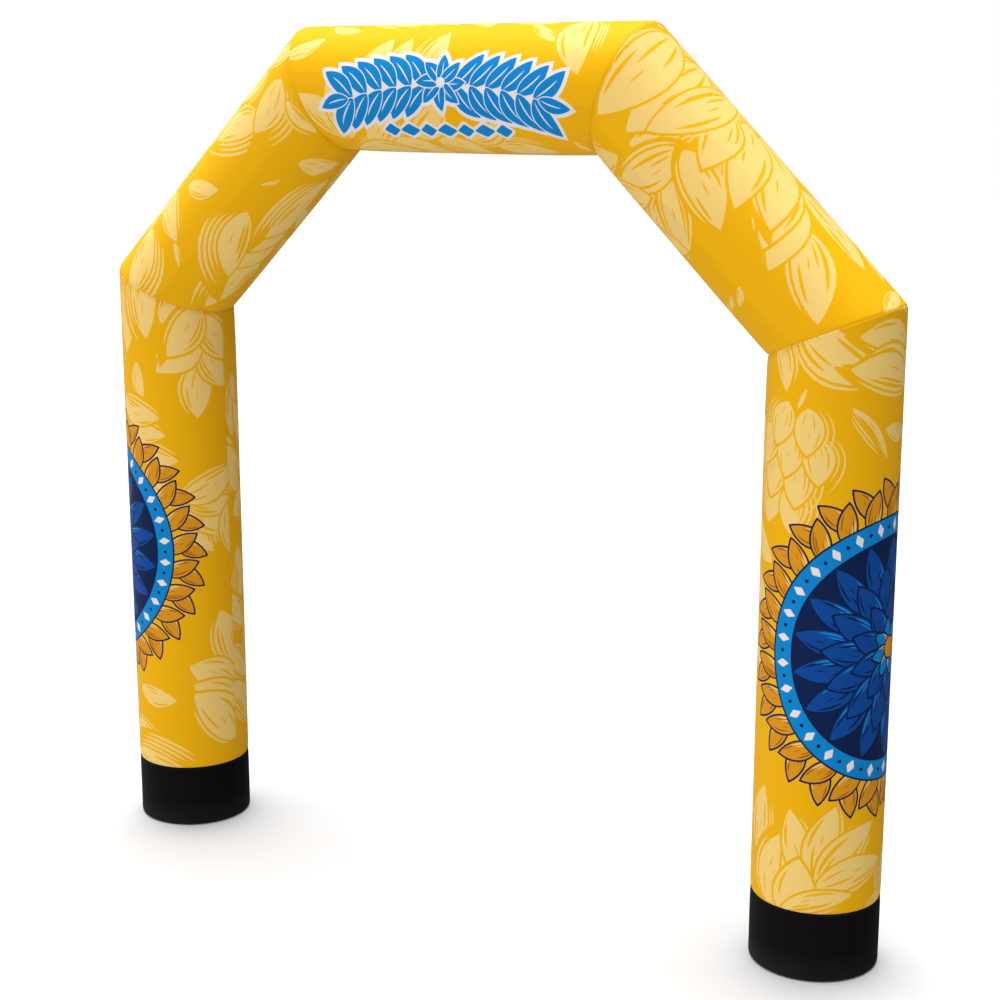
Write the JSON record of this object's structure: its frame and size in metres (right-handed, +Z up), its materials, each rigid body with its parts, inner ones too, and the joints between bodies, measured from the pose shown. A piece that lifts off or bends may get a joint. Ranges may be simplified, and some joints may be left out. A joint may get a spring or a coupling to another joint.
{
  "type": "inflatable arch",
  "caption": "Inflatable entrance arch: air-filled printed cloth tubes sewn at mitred corners over a walk-through passage, standing on black feet.",
  "frame": {"origin": "on the ground, midway between the two legs", "axes": "+X across the passage towards the right leg, +Y through the passage from the front to the back, +Z up"},
  "size_m": [5, 0.7, 4.975],
  "materials": {
    "printed_cloth": "woven polyester with a satin sheen, golden yellow with pale yellow leaves",
    "black_cloth": "heavy black woven polyester, matt"
  },
  "bodies": {
    "root": {"foot_left": "black_cloth", "leg_left": "printed_cloth", "diagonal_left": "printed_cloth", "beam": "printed_cloth", "diagonal_right": "printed_cloth", "leg_right": "printed_cloth", "foot_right": "black_cloth"}
  },
  "joints": []
}
